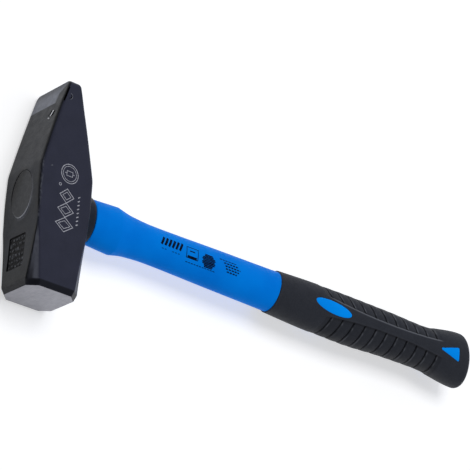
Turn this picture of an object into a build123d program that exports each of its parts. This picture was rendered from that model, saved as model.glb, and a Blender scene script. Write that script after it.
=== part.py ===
from build123d import *

import os

# Cross peen hammer of the 1000 g machinist's pattern, lying on one cheek. All sizes in millimetres.
# The origin is on the plane of the lower cheek, under the middle of the eye, where the handle's
# axis crosses the head's. +X runs down the handle to the butt, +Y along the head to the peen,
# and +Z up through the cheeks.

# Whole hammer
overall_length = 360.0  # far side of the head to the end of the butt

# Head
head_length = 135.0  # striking face to peen tip
face_to_eye = 58.6  # striking face to the middle of the eye
head_thickness = 36.0  # cheek to cheek
face_width = 37.2  # across the striking end, along the handle's line
face_flare = 0.06  # slope at which the sides leave the striking face
waist_width = 35.2  # narrowest place between the striking end and the eye
waist_to_eye = 27.0  # that place to the middle of the eye
eye_width = 38.0  # across the head at the eye
shoulder_before_eye = 6.0  # widest stretch, from the middle of the eye
shoulder_to_taper = 11.0  # length of the widest stretch
shoulder_radius = 14.0  # where the widest stretch turns into the peen's taper
taper_crown = 0.3  # how far the sides of the taper bulge
facet_length = 15.0  # ground facet behind the peen tip
facet_width = 16.6  # wedge's thickness where the facet begins
tip_width = 7.6  # wedge's thickness at the tip
nose_corner = 4.5  # corners of the tip, seen from the side of the eye
cheek_draft = 0.6  # how far each cheek draws in towards the tip
edge_rounding = 1.2  # round both sides of the head, over cheeks and tip alike

# Striking end
corner_cut = 6.6  # leg of the four corner chamfers at the striking face
corner_run_out = 14.0  # the chamfers fade out this far short of the middle of the eye
bevel_inset = 1.6  # bevel round the striking face, measured on the face
bevel_height = 4.2  # the same bevel, measured down the sides

# Stamped patch between the eye and the striking end
stamp_length = 21.0
stamp_width = 16.0
stamp_drop = 1.5  # its middle below the middle of the head
stamp_to_face = 13.6  # from the striking face
stamp_depth = 0.5
stamp_corner = 1.2
stamp_bar_count = 5
stamp_bar_width = 1.6

# Eye, an oval hole that tapers from both mouths to a throat
eye_length = 30.6  # along the head, at the far mouth
eye_breadth = 20.6  # across the cheeks, at the far mouth
throat_length = 25.6
throat_breadth = 16.8
throat_position = 4.0  # from the middle of the eye, towards the handle
near_mouth_length = 27.0
near_mouth_breadth = 18.6
mouth_chamfer = 0.5
eye_middle_shift = 1.7  # the eye sits this far towards the peen at its far mouth

# Core rod
core_depth = 17.0  # along the head's line
core_thickness = 11.0
tenon_gap = 2.5  # bond's thickness over the end of the rod
bond_recess = 0.25  # bond stands this far below the head's side
key_groove_count = 3
key_groove_width = 3.0
key_groove_depth = 0.6
key_groove_pitch = 8.0

# Neck collar
collar_length = 9.4
collar_depth = 30.0
collar_thickness = 21.8
collar_rounding = 1.6

# Jacket
flare_length = 19.1  # collar to the crease
flare_mouth_depth = 28.4
flare_mouth_thickness = 21.2
crease_depth = 30.8
crease_thickness = 21.4
waist_run = 27.5  # crease to the slimmest place
hollow_place = 0.4  # share of that run after which most of the flare is gone
hollow_share = 0.3  # share of the flare that is left there
slim_depth = 24.4
slim_thickness = 18.2
jacket_end_depth = 27.8
jacket_end_thickness = 20.4
tang_depth = 22.4  # jacket where it runs on inside the grip
tang_thickness = 14.8
tang_to_butt = 8.0  # end of the tang to the end of the butt
core_to_butt = 14.0  # end of the core rod to the end of the butt

# Grip
grip_length = 168.0  # along its axis
grip_lap = 0.35  # grip stands this far proud of the jacket at its front edge
front_slant = 9.0  # degrees: the front edge leans back at the peen's side
palm_depth_up = 16.5  # swell towards the peen's side
palm_depth_down = 16.5  # swell towards the striking face's side
palm_thickness = 21.6
palm_run = 64.0  # front edge to the middle of the swell
swell_share_up = 0.85  # share of the swell reached half way along that run
swell_share_down = 0.9
swell_share_thick = 0.7
neck_depth_up = 15.3  # hollow before the butt
neck_depth_down = 14.1
neck_thickness = 22.6
neck_to_butt = 40.0
fall_share_up = 0.25  # share of the hollow reached half way from the palm to it
fall_share_down = 0.75
butt_depth_up = 20.4
butt_depth_down = 18.2
butt_thickness = 24.6
butt_shoulder = 5.0  # widest place to the end
butt_rounding = 4.6

# Grooves round the grip, broken by a smooth band on each flat
groove_count = 11
groove_width = 1.1
groove_depth = 0.7
groove_pitch = 9.0
last_groove_to_butt = 31.0
first_lean = 24.0  # degrees from square, at the groove nearest the head
last_lean = 6.0
band_middle = 3.4  # half height of the smooth band at its narrowest
band_end = 7.4  # half height at both of its ends

# Inlays
oval_length = 30.2
oval_height = 9.8
oval_to_butt = 123.2  # middle of the oval to the end of the butt
triangle_length = 18.4  # before its corners are rounded
triangle_height = 10.4
triangle_to_butt = 12.2  # base of the triangle to the end of the butt
triangle_corner = 0.9
oval_backing = 1.0  # grip left between the oval's seat and the tang
triangle_backing = 2.5  # the same behind the triangle
inlay_gap = 0.05  # clearance round an inlay in its seat

# Worked out from the sizes above
axis_height = head_thickness / 2
head_side = eye_width / 2
face_y = -face_to_eye
tip_y = head_length - face_to_eye
collar_end = head_side + collar_length
crease = collar_end + flare_length
slim = crease + waist_run
butt = overall_length - head_side
grip_start = butt - grip_length
overrun = 8.0  # both sides of the slanted joint are drawn this far past it, then cut
jacket_run = grip_start - slim
palm = grip_start + palm_run
neck = butt - neck_to_butt
butt_widest = butt - butt_shoulder
far = overall_length  # longer than any cut needs
hair = 0.01  # places closer than this count as the same
eye_run_past = 2.0  # the eye's cutter starts and ends this far outside the head


def across_handle(x, y=0.0):
    """Plane square to the handle: its own x axis lies along +Y and its y axis along +Z."""
    return Plane(origin=(x, y, axis_height), x_dir=(0, 1, 0), z_dir=(1, 0, 0))


def oval(x, length, breadth, y=0.0):
    """Ellipse square to the handle, given by its two widths."""
    return across_handle(x, y) * Ellipse(length / 2, breadth / 2)


def lopsided(x, up, down, breadth):
    """Ellipse square to the handle that reaches unequally far towards +Y and -Y."""
    return oval(x, up + down, breadth, (up - down) / 2)


def shrunk(sections, inset):
    """The same sections, drawn in all round by inset: (x, up, down, breadth)."""
    return [(x, up - inset, down - inset, breadth - 2 * inset) for x, up, down, breadth in sections]


def front_edge_plane():
    """Slanted plane where the jacket ends and the grip begins, facing the butt."""
    slant = Vector(1, 0, 0).rotate(Axis.Z, -front_slant)
    return Plane(origin=(grip_start, 0, axis_height), z_dir=slant)


def tang_space():
    """The jacket's slimmer run inside the grip, from well before the slanted joint."""
    start = grip_start - overrun
    return extrude(oval(start, tang_depth, tang_thickness), butt - tang_to_butt - start)


def prism(outline, bottom, height):
    """Solid over an outline drawn in the X-Y plane."""
    return extrude(Pos(0, 0, bottom) * outline, height)


def head_outline():
    """The head seen square to its cheek."""
    facet_y = tip_y - facet_length
    shoulder = (head_side, shoulder_before_eye)
    taper_start = (head_side, shoulder_before_eye + shoulder_to_taper)
    facet_start = (facet_width / 2, facet_y)
    middle = (
        (taper_start[0] + facet_start[0]) / 2 + taper_crown,
        (taper_start[1] + facet_start[1]) / 2,
    )
    side = Spline(
        (face_width / 2, face_y),
        (waist_width / 2, -waist_to_eye),
        shoulder,
        tangents=[(-face_flare, 1), (0, 1)],
    )
    side += Line(shoulder, taper_start)
    side += ThreePointArc(taper_start, middle, facet_start)
    side += Line(facet_start, (tip_width / 2, tip_y))
    side += Line((tip_width / 2, tip_y), (0, tip_y))
    side += Line((0, face_y), (face_width / 2, face_y))
    face = make_face(side + mirror(side, about=Plane.YZ))
    shoulders = [v for v in face.vertices() if abs(v.Y - taper_start[1]) < hair]
    return fillet(shoulders, shoulder_radius)


def head_side_view():
    """The head seen along the handle: cheeks that draw in towards a tip with round corners."""
    taper_y = shoulder_before_eye + shoulder_to_taper
    low = cheek_draft
    high = head_thickness - cheek_draft
    view = Polyline(
        (face_y, 0),
        (taper_y, 0),
        (tip_y, low),
        (tip_y, high),
        (taper_y, head_thickness),
        (face_y, head_thickness),
        close=True,
    )
    face = make_face(view)
    corners = face.vertices().group_by(Axis.X)[-1]
    return Plane.YZ * fillet(corners, nose_corner)


def borders_a_side(edge):
    """True for the edges that run round either side of the head, over cheeks and tip."""
    middle = edge.center()
    upright = abs(edge.tangent_at(0.5).Z) > 1 - hair
    return abs(middle.X) > hair and middle.Y > face_y + hair and not (upright and middle.Y < tip_y - hair)


def cut_corner(solid, x_sign, z_sign):
    """Takes one tapered chamfer off the striking end."""
    x = face_width / 2
    z = head_thickness / 2
    fade = Vector(x_sign * x, -corner_run_out, axis_height + z_sign * z)
    on_cheek = Vector(x_sign * (x - corner_cut), face_y, axis_height + z_sign * z)
    on_side = Vector(x_sign * x, face_y, axis_height + z_sign * (z - corner_cut))
    normal = (on_cheek - fade).cross(on_side - fade)
    if normal.X * x_sign < 0:
        normal = -normal
    return split(solid, Plane(origin=fade, z_dir=normal), keep=Keep.BOTTOM)


def eye_space():
    """The tapering oval hole through the head, filled."""
    far_mouth = oval(-head_side, eye_length, eye_breadth, eye_middle_shift)
    throat = oval(throat_position, throat_length, throat_breadth)
    near_mouth = oval(head_side, near_mouth_length, near_mouth_breadth)
    return loft([far_mouth, throat]) + loft([throat, near_mouth])


def eye_cutter():
    """The eye's space, carried past both mouths, with a cone that opens the far one."""
    far_mouth = oval(-head_side, eye_length, eye_breadth, eye_middle_shift)
    near_mouth = oval(head_side, near_mouth_length, near_mouth_breadth)
    cone_ends = []
    for depth in (-mouth_chamfer, 3 * mouth_chamfer):
        growth = 2 * (mouth_chamfer - depth)
        x = -head_side + depth
        cone_ends.append(oval(x, eye_length + growth, eye_breadth + growth, eye_middle_shift))
    past_mouths = extrude(far_mouth, -eye_run_past) + extrude(near_mouth, eye_run_past)
    return eye_space() + past_mouths, loft(cone_ends)


def stamp_recess():
    """Shallow patch with raised bars, sunk into the far side of the head."""
    middle_y = face_y + stamp_to_face + stamp_length / 2
    patch = RectangleRounded(stamp_length, stamp_width, stamp_corner)
    plane = across_handle(-head_side, middle_y) * Pos(0, -stamp_drop)
    recess = extrude(plane * patch, head_side - waist_width / 2 + stamp_depth)
    pitch = stamp_length / stamp_bar_count
    for index in range(stamp_bar_count):
        offset = (index - (stamp_bar_count - 1) / 2) * pitch
        bar = Pos(offset, 0) * Rectangle(stamp_bar_width, stamp_width - pitch)
        recess -= extrude(plane * bar, far)
    return recess


def make_head():
    """Forged head: square striking end, oval eye and wedge-shaped cross peen."""
    body = prism(head_outline(), 0, head_thickness)
    body &= extrude(head_side_view(), head_side, both=True)
    body = fillet(body.edges().filter_by(borders_a_side), edge_rounding)
    for x_sign in (1, -1):
        for z_sign in (1, -1):
            body = cut_corner(body, x_sign, z_sign)
    striking_face = body.faces().sort_by(Axis.Y)[0]
    body = chamfer(striking_face.edges(), bevel_inset, bevel_height, reference=striking_face)
    eye, far_cone = eye_cutter()
    return body - eye - far_cone - stamp_recess()


def make_core_rod():
    """Glass-fibre rod from the eye to the butt, with key grooves where the bond holds it."""
    start = -head_side + tenon_gap
    rod = extrude(oval(start, core_depth, core_thickness), butt - core_to_butt - start)
    slim_core = Ellipse(core_depth / 2 - key_groove_depth, core_thickness / 2 - key_groove_depth)
    for index in range(key_groove_count):
        offset = (index - (key_groove_count - 1) / 2) * key_groove_pitch
        plane = across_handle(offset - key_groove_width / 2)
        ring = Ellipse(core_depth, core_thickness) - slim_core
        rod -= extrude(plane * ring, key_groove_width)
    return rod


def make_eye_bond():
    """Resin that fills the eye round the rod."""
    skin = extrude(oval(-head_side, 2 * eye_length, 2 * eye_breadth), bond_recess)
    return eye_space() - make_core_rod() - skin


def core_passage(start, length):
    """The space that the rod takes up between two places on the handle."""
    return extrude(oval(start, core_depth, core_thickness), length)


def make_neck_collar():
    """Ring between the head and the jacket."""
    ring = extrude(oval(head_side, collar_depth, collar_thickness), collar_length)
    ring = fillet(ring.edges().group_by(Axis.X)[-1], collar_rounding)
    return ring - core_passage(head_side, collar_length)


def make_shaft_jacket():
    """Hard jacket moulded over the rod, flared at the head and running on inside the grip."""
    flare = loft(
        [
            oval(collar_end, flare_mouth_depth, flare_mouth_thickness),
            oval(crease, crease_depth, crease_thickness),
        ]
    )
    half_way = (slim_depth + jacket_end_depth) / 2
    half_thickness = (slim_thickness + jacket_end_thickness) / 2
    shaft = loft(
        [
            oval(crease, crease_depth, crease_thickness),
            oval(
                crease + waist_run * hollow_place,
                slim_depth + hollow_share * (crease_depth - slim_depth),
                slim_thickness + hollow_share * (crease_thickness - slim_thickness),
            ),
            oval(slim, slim_depth, slim_thickness),
            oval(slim + jacket_run / 2, half_way, half_thickness),
            oval(grip_start + overrun, jacket_end_depth, jacket_end_thickness),
        ]
    )
    shaft = split(shaft, front_edge_plane(), keep=Keep.BOTTOM)
    core = core_passage(collar_end, butt - core_to_butt - collar_end)
    return flare + shaft + tang_space() - core


def grip_sections():
    """Outside of the grip: (place, reach towards the peen, reach towards the face, thickness)."""
    front = jacket_end_depth / 2 + grip_lap
    front_thickness = jacket_end_thickness + 2 * grip_lap
    return [
        (grip_start - overrun, front, front, front_thickness),
        (
            grip_start + palm_run / 2,
            front + swell_share_up * (palm_depth_up - front),
            front + swell_share_down * (palm_depth_down - front),
            front_thickness + swell_share_thick * (palm_thickness - front_thickness),
        ),
        (palm, palm_depth_up, palm_depth_down, palm_thickness),
        (
            (palm + neck) / 2,
            palm_depth_up - fall_share_up * (palm_depth_up - neck_depth_up),
            palm_depth_down - fall_share_down * (palm_depth_down - neck_depth_down),
            (palm_thickness + neck_thickness) / 2,
        ),
        (neck, neck_depth_up, neck_depth_down, neck_thickness),
        (butt_widest, butt_depth_up, butt_depth_down, butt_thickness),
        (butt, butt_depth_up, butt_depth_down, butt_thickness),
    ]


def grip_form(inset=0.0):
    """Outside of the grip as a full solid, drawn in by inset."""
    sections = shrunk(grip_sections(), inset)
    body = loft([lopsided(*section) for section in sections[:-1]])
    body = split(body, front_edge_plane(), keep=Keep.TOP)
    end = extrude(lopsided(*sections[-2]), butt_shoulder)
    return body + end


def rounded_grip_form():
    """Outside of the grip with its butt rounded."""
    form = grip_form()
    return fillet(form.edges().group_by(Axis.X)[-1], butt_rounding)


def smooth_band():
    """The ungrooved band on the flats, seen square to the cheek: narrow in its middle."""
    start = butt - last_groove_to_butt - groove_count * groove_pitch
    end = butt - last_groove_to_butt / 2
    middle = (start + end) / 2
    upper = ThreePointArc((start, band_end), (middle, band_middle), (end, band_end))
    lower = ThreePointArc((start, -band_end), (middle, -band_middle), (end, -band_end))
    sides = Line(upper @ 0, lower @ 0) + Line(upper @ 1, lower @ 1)
    return prism(make_face(upper + lower + sides), -far / 2, far)


def groove_cuts():
    """Leaning grooves above and below the smooth band."""
    skin = grip_form() - grip_form(groove_depth)
    slabs = []
    for index in range(groove_count):
        x = butt - last_groove_to_butt - index * groove_pitch
        share = index / (groove_count - 1)
        lean = last_lean + share * (first_lean - last_lean)
        for side in (1, -1):
            slab = Box(groove_width, far, far, align=(Align.CENTER, Align.MIN, Align.CENTER))
            turn = lean if side > 0 else 180 - lean
            slabs.append(Pos(x, 0, axis_height) * Rot(0, 0, turn) * slab)
    band = smooth_band()
    return [(slab & skin) - band for slab in slabs]


def oval_outline(gap):
    """Oval inlay or its seat, seen square to the cheek."""
    return Pos(butt - oval_to_butt, 0) * Ellipse(oval_length / 2 - gap, oval_height / 2 - gap)


def triangle_outline(gap):
    """Triangular inlay or its seat, its apex towards the head."""
    base = butt - triangle_to_butt
    half = triangle_height / 2
    corners = Polyline(
        (base - triangle_length, 0), (base, half), (base, -half), close=True
    )
    face = fillet(make_face(corners).vertices(), triangle_corner)
    return offset(face, -gap) if gap else face


def inlay_column(outline, backing, side):
    """Column over an inlay's outline, from its seat's flat floor outwards, on one flat."""
    column = prism(outline, tang_thickness / 2 + backing, butt_thickness)
    column = column if side > 0 else mirror(column, about=Plane.XY)
    return Pos(0, 0, axis_height) * column


def make_inlay(outline, backing, side):
    """Inlay that fills its seat and ends flush with the grip."""
    return inlay_column(outline, backing, side) & grip_form()


def make_grip_sleeve():
    """Soft grip over the jacket, with seats for the inlays and leaning grooves."""
    form = rounded_grip_form()
    form -= tang_space()
    for cut in groove_cuts():
        form -= cut
    for side in (1, -1):
        form -= inlay_column(oval_outline(0), oval_backing, side)
        form -= inlay_column(triangle_outline(0), triangle_backing, side)
    return form


parts = {
    "head": make_head(),
    "eye_bond": make_eye_bond(),
    "core_rod": make_core_rod(),
    "neck_collar": make_neck_collar(),
    "shaft_jacket": make_shaft_jacket(),
    "grip_sleeve": make_grip_sleeve(),
}
for side, place in ((1, "upper"), (-1, "lower")):
    parts[f"{place}_oval_inlay"] = make_inlay(oval_outline(inlay_gap), oval_backing, side)
    parts[f"{place}_butt_inlay"] = make_inlay(triangle_outline(inlay_gap), triangle_backing, side)

os.makedirs("parts", exist_ok=True)
for name, solid in parts.items():
    export_step(solid, f"parts/{name}.step")
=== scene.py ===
import math

import bmesh
import bpy
import numpy as np
from mathutils import Matrix, Vector, noise


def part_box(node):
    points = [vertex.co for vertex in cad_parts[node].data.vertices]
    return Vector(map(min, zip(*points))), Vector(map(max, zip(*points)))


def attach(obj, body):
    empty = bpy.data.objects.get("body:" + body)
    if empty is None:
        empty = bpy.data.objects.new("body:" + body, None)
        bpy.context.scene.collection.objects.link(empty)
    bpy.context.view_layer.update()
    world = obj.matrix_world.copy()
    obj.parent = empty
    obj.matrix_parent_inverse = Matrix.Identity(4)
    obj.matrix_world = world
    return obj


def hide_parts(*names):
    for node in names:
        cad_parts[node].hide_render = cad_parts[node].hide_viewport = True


# Cross peen hammer lying on one cheek. Sizes below are in millimetres and meshes are in metres.
# +X runs down the handle, +Y to the peen, +Z up through the cheeks.
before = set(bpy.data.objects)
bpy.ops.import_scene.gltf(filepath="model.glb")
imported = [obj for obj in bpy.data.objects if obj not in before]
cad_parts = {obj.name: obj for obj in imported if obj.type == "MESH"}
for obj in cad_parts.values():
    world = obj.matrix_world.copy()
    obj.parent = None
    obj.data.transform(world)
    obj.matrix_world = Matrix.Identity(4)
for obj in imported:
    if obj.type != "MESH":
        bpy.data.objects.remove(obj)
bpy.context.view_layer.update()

MM = 0.001
BODY = "root"
SHARP = math.radians(28)  # edges that turn more than this stay crisp

HEAD_LOW, HEAD_HIGH = (np.array(corner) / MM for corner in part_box("head"))
COLLAR_LOW, COLLAR_HIGH = (np.array(corner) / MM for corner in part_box("neck_collar"))
JACKET_HIGH = np.array(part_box("shaft_jacket")[1]) / MM
GRIP_LOW, GRIP_HIGH = (np.array(corner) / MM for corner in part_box("grip_sleeve"))
OVAL_LOW, OVAL_HIGH = (np.array(corner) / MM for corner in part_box("upper_oval_inlay"))
TRIANGLE_LOW, TRIANGLE_HIGH = (np.array(corner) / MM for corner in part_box("upper_butt_inlay"))
CORE_HIGH = np.array(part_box("core_rod")[1]) / MM

AXIS = (HEAD_LOW[2] + HEAD_HIGH[2]) / 2  # height of the handle's axis
SIDE = HEAD_HIGH[0]  # head's side, from the axis
FACE = HEAD_LOW[1]
TIP = HEAD_HIGH[1]
BUTT = GRIP_HIGH[0]
COLLAR_END = COLLAR_HIGH[0]


# ---- mesh helpers

def hermite(x, start, end, low, high, slope_low, slope_high):
    """Cubic between two places with the slopes given there."""
    length = end - start
    t = (x - start) / length
    value = low * (1 + 2 * t) * (1 - t) ** 2 + high * t * t * (3 - 2 * t)
    return value + length * (slope_low * t * (1 - t) ** 2 - slope_high * t * t * (1 - t))


def smooth_curve(places, values):
    """Smooth function through values at places, with no overshoot between them."""
    places = np.array(places, float)
    values = np.array(values, float)
    rises = np.diff(values) / np.diff(places)
    slopes = np.zeros(len(places))
    slopes[0], slopes[-1] = rises[0], rises[-1]
    for i in range(1, len(places) - 1):
        if rises[i - 1] * rises[i] > 0:
            slopes[i] = 2 / (1 / rises[i - 1] + 1 / rises[i])

    def value(x):
        x = np.clip(np.asarray(x, float), places[0], places[-1])
        i = np.clip(np.searchsorted(places, x) - 1, 0, len(rises) - 1)
        j = i + 1
        return hermite(x, places[i], places[j], values[i], values[j], slopes[i], slopes[j])

    return value


def ease(low, high, x):
    """0 below low, 1 above high, smooth between."""
    t = np.clip((np.asarray(x, float) - low) / (high - low), 0, 1)
    return t * t * (3 - 2 * t)


def near(x, middle, width):
    """1 at the middle, fading to nothing a few widths away."""
    return np.exp(-(((x - middle) / width) ** 2))


def full_turn(count):
    """Angles spaced evenly round a circle."""
    return np.linspace(0, 2 * math.pi, count, endpoint=False)


def arc(x, y, radius, turn):
    """Points round a centre at the angles in turn."""
    return [(x + radius * math.cos(a), y + radius * math.sin(a)) for a in turn]


def ellipse(x, half_y, half_z, count, middle=0.0):
    """Ring of points square to the handle."""
    turn = full_turn(count)
    y = middle + half_y * np.cos(turn)
    z = AXIS + half_z * np.sin(turn)
    return np.stack([np.full(count, float(x)), y, z], axis=1)


def mesh_object(name, points, faces, *materials):
    """New object from points in millimetres, its normals facing outwards."""
    mesh = bpy.data.meshes.new(name)
    mesh.from_pydata([tuple(point) for point in np.asarray(points) * MM], [], faces)
    for material in materials:
        mesh.materials.append(material)
    work = bmesh.new()
    work.from_mesh(mesh)
    bmesh.ops.recalc_face_normals(work, faces=work.faces)
    work.to_mesh(mesh)
    work.free()
    made = bpy.data.objects.new(name, mesh)
    bpy.context.scene.collection.objects.link(made)
    return made


def tube_faces(rings, count, closed=False):
    """Quads between each ring of points and the next, and from the last to the first if closed."""
    faces = []
    for i in range(rings if closed else rings - 1):
        row = i * count
        following = (i + 1) % rings * count
        for j in range(count):
            k = (j + 1) % count
            faces.append((row + j, row + k, following + k, following + j))
    return faces


def grid_faces(rows, columns):
    """Quads of a sheet whose points are listed row by row."""
    starts = [i * columns + j for i in range(rows - 1) for j in range(columns - 1)]
    return [(a, a + 1, a + columns + 1, a + columns) for a in starts]


def ring_solid(name, rings, *materials):
    """Closed object through a run of rings, with a point in the middle of each end."""
    count = len(rings[0])
    points = np.concatenate(rings)
    faces = tube_faces(len(rings), count)
    first = len(points)
    last_row = first - count
    points = np.concatenate([points, [rings[0].mean(axis=0)], [rings[-1].mean(axis=0)]])
    for j in range(count):
        k = (j + 1) % count
        faces.append((k, j, first))
        faces.append((last_row + j, last_row + k, first + 1))
    return mesh_object(name, points, faces, *materials)


def towards_middle(ring, shares, dome=(0, 0, 0)):
    """Copies of a ring drawn in to its middle, which stands proud by the vector dome."""
    middle = ring.mean(axis=0)
    copies = []
    for share in shares:
        rise = np.array(dome) * (1 - share * share)
        copies.append(middle + (ring - middle) * share + rise)
    return copies


def corner_curve(before, corner, after, steps=4):
    """Points that round a corner between two places."""
    points = []
    for t in np.linspace(0, 1, steps):
        a = np.array(before) * (1 - t) + np.array(corner) * t
        b = np.array(corner) * (1 - t) + np.array(after) * t
        points.append(a * (1 - t) + b * t)
    return points


def fine_line(points, step, closed):
    """Points added along straight links so that they lie about a step apart."""
    path = [np.array(point, float) for point in points]
    ends = path[1:] + path[:1] if closed else path[1:]
    fine = []
    for a, b in zip(path, ends):
        pieces = max(1, int(np.linalg.norm(b - a) / step))
        fine += [a + (b - a) * k / pieces for k in range(pieces)]
    return fine if closed else fine + path[-1:]


def joined(pieces):
    """One object made of several that don't touch."""
    work = bmesh.new()
    for piece in pieces:
        work.from_mesh(piece.data)
    first = pieces[0]
    work.to_mesh(first.data)
    work.free()
    for piece in pieces[1:]:
        bpy.data.objects.remove(piece)
    return first


def cut_away(target, cutter):
    """Takes cutter out of target and keeps the cutter's materials on the cut."""
    step = target.modifiers.new("cut", "BOOLEAN")
    step.operation = "DIFFERENCE"
    step.solver = "EXACT"
    step.material_mode = "TRANSFER"
    step.object = cutter
    graph = bpy.context.evaluated_depsgraph_get()
    mesh = bpy.data.meshes.new_from_object(target.evaluated_get(graph))
    target.modifiers.clear()
    target.data = mesh
    bpy.data.objects.remove(cutter)


def shade(piece):
    """Smooth shading with crisp edges where the surface turns sharply."""
    work = bmesh.new()
    work.from_mesh(piece.data)
    for face in work.faces:
        face.smooth = True
    for edge in work.edges:
        edge.smooth = len(edge.link_faces) == 2 and edge.calc_face_angle(0) < SHARP
    work.to_mesh(piece.data)
    work.free()


def dress(piece, slot, *nodes):
    """Finishes a piece: shading, the body it rides on and the nodes it stands for; the slot is not used."""
    shade(piece)
    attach(piece, BODY)
    if nodes:
        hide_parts(*nodes)
    return piece


# ---- materials

def fill(tree, socket, value):
    """Links a socket to an output or sets it to a value."""
    if isinstance(value, bpy.types.NodeSocket):
        tree.links.new(value, socket)
    else:
        socket.default_value = value


def add_node(tree, kind, **inputs):
    """New shader node with some of its inputs filled."""
    node = tree.nodes.new("ShaderNode" + kind)
    for name, value in inputs.items():
        fill(tree, node.inputs[name.replace("_", " ")], value)
    return node


class Paint:
    """A procedural material and the few nodes it is made of."""

    def __init__(self, name):
        self.material = bpy.data.materials.new(name)
        self.material.use_nodes = True
        self.tree = self.material.node_tree
        self.place = add_node(self.tree, "TexCoord").outputs["Object"]

    def noise(self, size, detail=3.0, stretch=None, roughness=0.55):
        """Noise whose grains are about size millimetres, stretched along an axis if asked."""
        source = self.place
        if stretch:
            source = add_node(self.tree, "Mapping", Vector=source, Scale=stretch).outputs["Vector"]
        scale = 1 / (size * MM)
        node = add_node(self.tree, "TexNoise", Vector=source, Scale=scale, Detail=detail, Roughness=roughness)
        return node.outputs["Fac"]

    def blend(self, factor, low_colour, high_colour, low=0.3, high=0.7):
        """One colour up to a low factor, another from a high one, and a blend between."""
        ramp = add_node(self.tree, "ValToRGB", Fac=factor)
        marks = ramp.color_ramp.elements
        for mark, place, colour in zip(marks, (low, high), (low_colour, high_colour)):
            mark.position = place
            mark.color = (*colour, 1)
        return ramp.outputs["Color"]

    def spread(self, factor, low, high):
        """A factor's middle range spread from low to high."""
        node = add_node(self.tree, "MapRange", Value=factor, From_Min=0.3, From_Max=0.7)
        node.inputs["To Min"].default_value = low
        node.inputs["To Max"].default_value = high
        return node.outputs["Result"]

    def mix(self, factor, first, second):
        """One colour over another, by a factor."""
        node = self.tree.nodes.new("ShaderNodeMix")
        node.data_type = "RGBA"
        self.tree.links.new(factor, node.inputs["Factor"])
        for place, colour in ((6, first), (7, second)):
            fill(self.tree, node.inputs[place], (*colour, 1) if isinstance(colour, tuple) else colour)
        return node.outputs[2]

    def worn(self, name, first, second):
        """One colour over another, by a number stored on the mesh."""
        node = add_node(self.tree, "Attribute")
        node.attribute_name = name
        return self.mix(node.outputs["Fac"], first, second)

    def done(self, colour, rough, layers, gloss=0.5, **constants):
        """The finished material: layers of relief are (height factor, depth in millimetres)."""
        shader = self.tree.nodes["Principled BSDF"]
        self.tree.links.new(colour, shader.inputs["Base Color"])
        self.tree.links.new(rough, shader.inputs["Roughness"])
        normal = {}
        for factor, depth in layers:
            bump = add_node(self.tree, "Bump", Strength=1.0, Distance=depth * MM, Height=factor, **normal)
            normal = {"Normal": bump.outputs["Normal"]}
        self.tree.links.new(normal["Normal"], shader.inputs["Normal"])
        shader.inputs["Specular IOR Level"].default_value = gloss
        for name, value in constants.items():
            shader.inputs[name.replace("_", " ")].default_value = value
        return self.material


PAINTED_SHADE_BLACK = (0.001, 0.0012, 0.0015)  # near black, for painted shade


def painted_steel():
    """Dark paint over a forging: bluish cheeks, greyer sides darkened as painted shade, orange peel, rubbed
    edges, and painted highlight and shade.
    """
    paint = Paint("painted_steel")
    clouds = paint.noise(9, 4)
    cheek = paint.blend(clouds, (0.0205, 0.022, 0.0375), (0.0245, 0.026, 0.0445))
    # The sides take a darker, greyer colour than the cheeks: painted shade.
    side = paint.blend(clouds, (0.0018, 0.0032, 0.007), (0.007, 0.0095, 0.0155))
    mottle_and_side_shade = paint.worn("flank", cheek, side)
    speckled = paint.mix(paint.spread(paint.noise(0.5, 2), 0.0, 0.2), mottle_and_side_shade, (0.03, 0.033, 0.042))
    # Paler where worn, and as painted highlight on the eye rim's light side.
    rubbed = paint.worn("rub", speckled, (0.075, 0.079, 0.097))
    rough = paint.spread(paint.noise(5, 3), 0.4, 0.5)
    layers = [(paint.noise(0.55, 2), 0.05), (paint.noise(2.6, 2), 0.07)]
    # Near black where painted shade darkens the edges, bevel, low side and eye rim.
    return paint.done(paint.worn("pooled", rubbed, PAINTED_SHADE_BLACK), rough, layers, gloss=0.21)


def stamp_floor():
    """Bottom of the stamped patch: dark and grimy, its raised marks rubbed paler."""
    paint = Paint("stamp_floor")
    grime_and_shade = paint.blend(paint.noise(1.2, 4), (0.0015, 0.0016, 0.002), (0.006, 0.0065, 0.008), low=0.35)
    rough = paint.spread(paint.noise(0.8, 3), 0.6, 0.85)
    layers = [(paint.noise(0.4, 3), 0.08), (paint.noise(1.2, 2), 0.1)]
    return paint.done(paint.worn("rub", grime_and_shade, (0.11, 0.116, 0.13)), rough, layers, gloss=0.22)


def ground_steel(name, along, light, dark):
    """Bare ground steel with fine scratches that run along one direction, darkened in places by a number on
    the mesh.
    """
    paint = Paint(name)
    scratches = paint.noise(0.5, 5, stretch=along, roughness=0.7)
    bright = paint.blend(scratches, dark, light)
    tinted = paint.mix(paint.spread(paint.noise(14, 3), 0.0, 0.35), bright, dark)
    rough = paint.spread(paint.noise(3, 3), 0.36, 0.5)
    # Darker where the mesh's number named scale is high: beside the facet's painted strip and towards the
    # tip.
    darkened = paint.worn("scale", tinted, (0.03, 0.033, 0.039))
    return paint.done(darkened, rough, [(scratches, 0.012)], Metallic=1.0)


def blue_plastic(name, deep, bright, roughness):
    """Moulded blue plastic: slight cloudiness, a soft gloss and very fine texture."""
    paint = Paint(name)
    colour = paint.blend(paint.noise(22, 2), deep, bright)
    rough = paint.spread(paint.noise(3, 3), roughness - 0.05, roughness + 0.06)
    layers = [(paint.noise(0.35, 2), 0.012), (paint.noise(7, 2), 0.04)]
    return paint.done(colour, rough, layers, gloss=0.03, Specular_Tint=(0.15, 0.45, 1, 1))


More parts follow.
